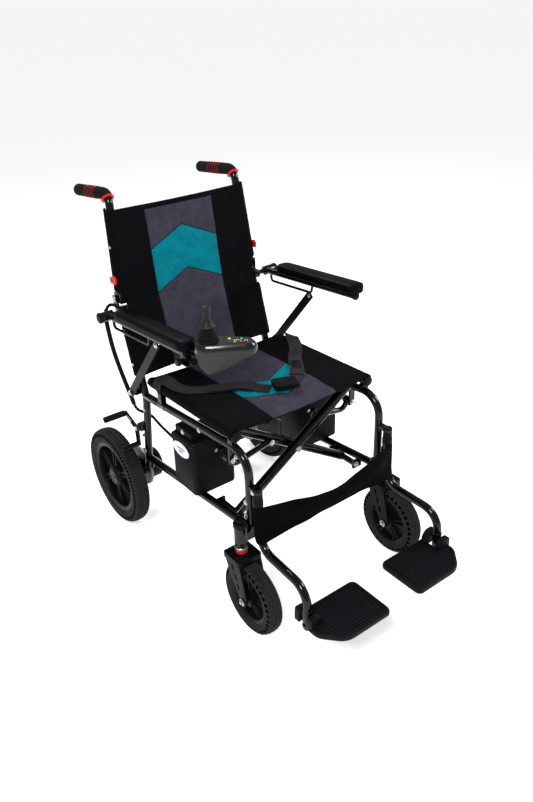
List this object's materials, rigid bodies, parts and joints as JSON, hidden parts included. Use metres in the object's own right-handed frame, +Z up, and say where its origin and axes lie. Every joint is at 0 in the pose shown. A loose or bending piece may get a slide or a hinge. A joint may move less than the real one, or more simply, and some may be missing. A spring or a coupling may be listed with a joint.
{
  "type": "power wheelchair",
  "caption": "Folding electric wheelchair with hub-motor rear wheels, front casters, flip-up armrests, joystick pod, sling seat and back, and swing-away footrests.",
  "frame": {"origin": "on the floor, under the middle of the bounding box", "axes": "+Z up, -Y the way the rider faces, +X to the rider's left"},
  "size_m": [0.6224, 1.112, 1.0095],
  "materials": {
    "frame": "gloss black enamel",
    "plastic": "moulded, satin",
    "casing": "fine textured",
    "rubber": "matte",
    "tyre": "block tread, matte",
    "foam": "foam grip, matte",
    "fabric": "woven black with slate and teal panels",
    "webbing": "ribbed webbing",
    "steel": "zinc plated",
    "motor": "cast, satin",
    "red": "gloss",
    "yellow": "gloss",
    "green": "gloss"
  },
  "bodies": {
    "right_frame": {"right_side_frame": "frame", "battery_case": "casing", "battery_handle": "plastic", "right_motor": "motor", "seat_sling": "fabric", "back_sling_lower": "fabric", "joystick_cable": "rubber"},
    "brace_a": {"cross_brace_a": "frame", "cross_brace_bolt": "steel", "left_rail_cap": "plastic", "left_lap_belt": "webbing", "belt_buckle": "plastic"},
    "brace_b": {"cross_brace_b": "frame", "right_rail_cap": "plastic", "right_lap_belt": "webbing"},
    "left_frame": {"left_side_frame": "frame", "controller_box": "casing", "left_motor": "motor"},
    "right_link": {"right_stabiliser_link": "frame"},
    "left_link": {"left_stabiliser_link": "frame"},
    "right_back": {"right_back_cane": "frame", "right_push_grip": "foam", "back_sling_upper": "fabric"},
    "left_back": {"left_back_cane": "frame", "left_push_grip": "foam"},
    "right_latch": {"right_back_latch": "red"},
    "left_latch": {"left_back_latch": "red"},
    "right_armrest": {"right_armrest_frame": "frame", "right_arm_pad": "plastic", "joystick_housing": "plastic", "joystick_gaiter": "rubber"},
    "left_armrest": {"left_armrest_frame": "frame", "left_arm_pad": "plastic"},
    "right_strut": {"right_armrest_strut": "casing"},
    "left_strut": {"left_armrest_strut": "casing"},
    "gimbal": {"joystick_gimbal": "steel"},
    "stick": {"joystick_knob": "rubber"},
    "power_key": {"power_button": "red"},
    "horn_key": {"horn_button": "yellow"},
    "slower_key": {"slower_button": "green"},
    "faster_key": {"faster_button": "green"},
    "right_wheel": {"right_wheel_rim": "plastic", "right_wheel_tyre": "tyre"},
    "left_wheel": {"left_wheel_rim": "plastic", "left_wheel_tyre": "tyre"},
    "right_fork": {"right_caster_fork": "plastic"},
    "left_fork": {"left_caster_fork": "plastic"},
    "right_caster": {"right_caster_rim": "plastic", "right_caster_tyre": "tyre"},
    "left_caster": {"left_caster_rim": "plastic", "left_caster_tyre": "tyre"},
    "right_legrest": {"right_hanger": "frame", "right_calf_strap": "fabric"},
    "left_legrest": {"left_hanger": "frame", "left_calf_strap": "fabric"},
    "right_plate": {"right_footplate": "plastic"},
    "left_plate": {"left_footplate": "plastic"},
    "right_brake": {"right_brake_lever": "frame"},
    "left_brake": {"left_brake_lever": "frame"}
  },
  "joints": [
    {"name": "fold", "type": "hinge", "parent": "right_frame", "child": "brace_a", "pos_m": [-0.197, -0.134, 0.261], "axis": [0, -1, 0], "range_deg": [0, 16.5], "deforming": ["seat_sling", "back_sling_lower", "back_sling_upper", "right_lap_belt", "left_lap_belt", "right_calf_strap", "left_calf_strap"]},
    {"name": "fold_brace_b", "type": "hinge", "parent": "brace_a", "child": "brace_b", "pos_m": [0, -0.1205, 0.386], "axis": [0, -1, 0], "range_deg": [-34, 1]},
    {"name": "fold_left_frame", "type": "hinge", "parent": "brace_b", "child": "left_frame", "pos_m": [0.197, -0.107, 0.261], "axis": [0, -1, 0], "range_deg": [-1, 18]},
    {"name": "fold_right_link", "type": "hinge", "parent": "right_frame", "child": "right_link", "pos_m": [-0.213, -0.134, 0.4414], "axis": [0, -1, 0], "range_deg": [-1, 37]},
    {"name": "fold_left_link", "type": "hinge", "parent": "left_frame", "child": "left_link", "pos_m": [0.213, -0.107, 0.4414], "axis": [0, -1, 0], "range_deg": [-37, 1]},
    {"name": "back_fold", "type": "hinge", "parent": "right_frame", "child": "right_back", "pos_m": [-0.217, 0.348, 0.722], "axis": [-1, 0, 0], "range_deg": [0, 90]},
    {"name": "back_fold_left", "type": "hinge", "parent": "left_frame", "child": "left_back", "pos_m": [0.217, 0.348, 0.722], "axis": [-1, 0, 0], "range_deg": [-1, 91]},
    {"name": "right_latch_pull", "type": "hinge", "parent": "right_back", "child": "right_latch", "pos_m": [-0.234, 0.3448, 0.778], "axis": [1, 0, 0], "range_deg": [0, 30], "stiffness_Nm_per_rad": 0.1},
    {"name": "left_latch_pull", "type": "hinge", "parent": "left_back", "child": "left_latch", "pos_m": [0.234, 0.3448, 0.778], "axis": [1, 0, 0], "range_deg": [0, 30], "stiffness_Nm_per_rad": 0.1},
    {"name": "right_armrest_lift", "type": "hinge", "parent": "right_frame", "child": "right_armrest", "pos_m": [-0.268, 0.32, 0.693], "axis": [-1, 0, 0], "range_deg": [0, 95], "deforming": ["joystick_cable"]},
    {"name": "left_armrest_lift", "type": "hinge", "parent": "left_frame", "child": "left_armrest", "pos_m": [0.268, 0.32, 0.693], "axis": [-1, 0, 0], "range_deg": [0, 95]},
    {"name": "right_strut_swing", "type": "hinge", "parent": "right_frame", "child": "right_strut", "pos_m": [-0.2525, 0.276, 0.47], "axis": [-1, 0, 0], "range_deg": [-1, 46]},
    {"name": "left_strut_swing", "type": "hinge", "parent": "left_frame", "child": "left_strut", "pos_m": [0.2525, 0.276, 0.47], "axis": [-1, 0, 0], "range_deg": [-1, 46]},
    {"name": "stick_forward", "type": "hinge", "parent": "right_armrest", "child": "gimbal", "pos_m": [-0.24, -0.122, 0.752], "axis": [1, 0, 0], "range_deg": [-18, 18], "stiffness_Nm_per_rad": 1.2, "deforming": ["joystick_gaiter"]},
    {"name": "stick_sideways", "type": "hinge", "parent": "gimbal", "child": "stick", "pos_m": [-0.24, -0.122, 0.752], "axis": [0, 1, 0], "range_deg": [-18, 18], "stiffness_Nm_per_rad": 1.2},
    {"name": "press_power", "type": "slide", "parent": "right_armrest", "child": "power_key", "axis": [0, 0, -1], "range_m": [0, 0.001], "stiffness_N_per_m": 800},
    {"name": "press_horn", "type": "slide", "parent": "right_armrest", "child": "horn_key", "axis": [0, 0, -1], "range_m": [0, 0.001], "stiffness_N_per_m": 800},
    {"name": "press_slower", "type": "slide", "parent": "right_armrest", "child": "slower_key", "axis": [0, 0, -1], "range_m": [0, 0.001], "stiffness_N_per_m": 800},
    {"name": "press_faster", "type": "slide", "parent": "right_armrest", "child": "faster_key", "axis": [0, 0, -1], "range_m": [0, 0.001], "stiffness_N_per_m": 800},
    {"name": "right_wheel_spin", "type": "hinge", "parent": "right_frame", "child": "right_wheel", "pos_m": [-0.282, 0.374, 0.152], "axis": [1, 0, 0], "continuous": true},
    {"name": "left_wheel_spin", "type": "hinge", "parent": "left_frame", "child": "left_wheel", "pos_m": [0.282, 0.374, 0.152], "axis": [1, 0, 0], "continuous": true},
    {"name": "right_caster_swivel", "type": "hinge", "parent": "right_frame", "child": "right_fork", "pos_m": [-0.249, -0.224, 0.28], "axis": [0, 0, 1], "continuous": true},
    {"name": "left_caster_swivel", "type": "hinge", "parent": "left_frame", "child": "left_fork", "pos_m": [0.249, -0.224, 0.28], "axis": [0, 0, 1], "continuous": true},
    {"name": "right_caster_spin", "type": "hinge", "parent": "right_fork", "child": "right_caster", "pos_m": [-0.249, -0.266, 0.1015], "axis": [1, 0, 0], "continuous": true},
    {"name": "left_caster_spin", "type": "hinge", "parent": "left_fork", "child": "left_caster", "pos_m": [0.249, -0.266, 0.1015], "axis": [1, 0, 0], "continuous": true},
    {"name": "right_legrest_swing", "type": "hinge", "parent": "right_frame", "child": "right_legrest", "pos_m": [-0.219, -0.26, 0.4], "axis": [0, 0, -1], "range_deg": [0, 90]},
    {"name": "left_legrest_swing", "type": "hinge", "parent": "left_frame", "child": "left_legrest", "pos_m": [0.219, -0.26, 0.4], "axis": [0, 0, 1], "range_deg": [0, 90]},
    {"name": "right_footplate_flip", "type": "hinge", "parent": "right_legrest", "child": "right_plate", "pos_m": [-0.226, -0.452, 0.163], "axis": [0, -1, 0], "range_deg": [0, 90]},
    {"name": "left_footplate_flip", "type": "hinge", "parent": "left_legrest", "child": "left_plate", "pos_m": [0.226, -0.452, 0.163], "axis": [0, 1, 0], "range_deg": [0, 90]},
    {"name": "right_brake_set", "type": "hinge", "parent": "right_frame", "child": "right_brake", "pos_m": [-0.246, 0.286, 0.345], "axis": [1, 0, 0], "range_deg": [0, 25]},
    {"name": "left_brake_set", "type": "hinge", "parent": "left_frame", "child": "left_brake", "pos_m": [0.246, 0.286, 0.345], "axis": [1, 0, 0], "range_deg": [0, 25]}
  ],
  "couplings": [
    {"joint": "fold_brace_b", "follows": "fold", "ratio": -2},
    {"joint": "fold_left_frame", "follows": "fold", "ratio": 1},
    {"joint": "fold_right_link", "follows": "fold", "ratio": 2.17},
    {"joint": "fold_left_link", "follows": "fold", "ratio": -2.17},
    {"joint": "back_fold_left", "follows": "back_fold", "ratio": 1},
    {"joint": "right_strut_swing", "follows": "right_armrest_lift", "ratio": 0.4705},
    {"joint": "left_strut_swing", "follows": "left_armrest_lift", "ratio": 0.4705}
  ]
}
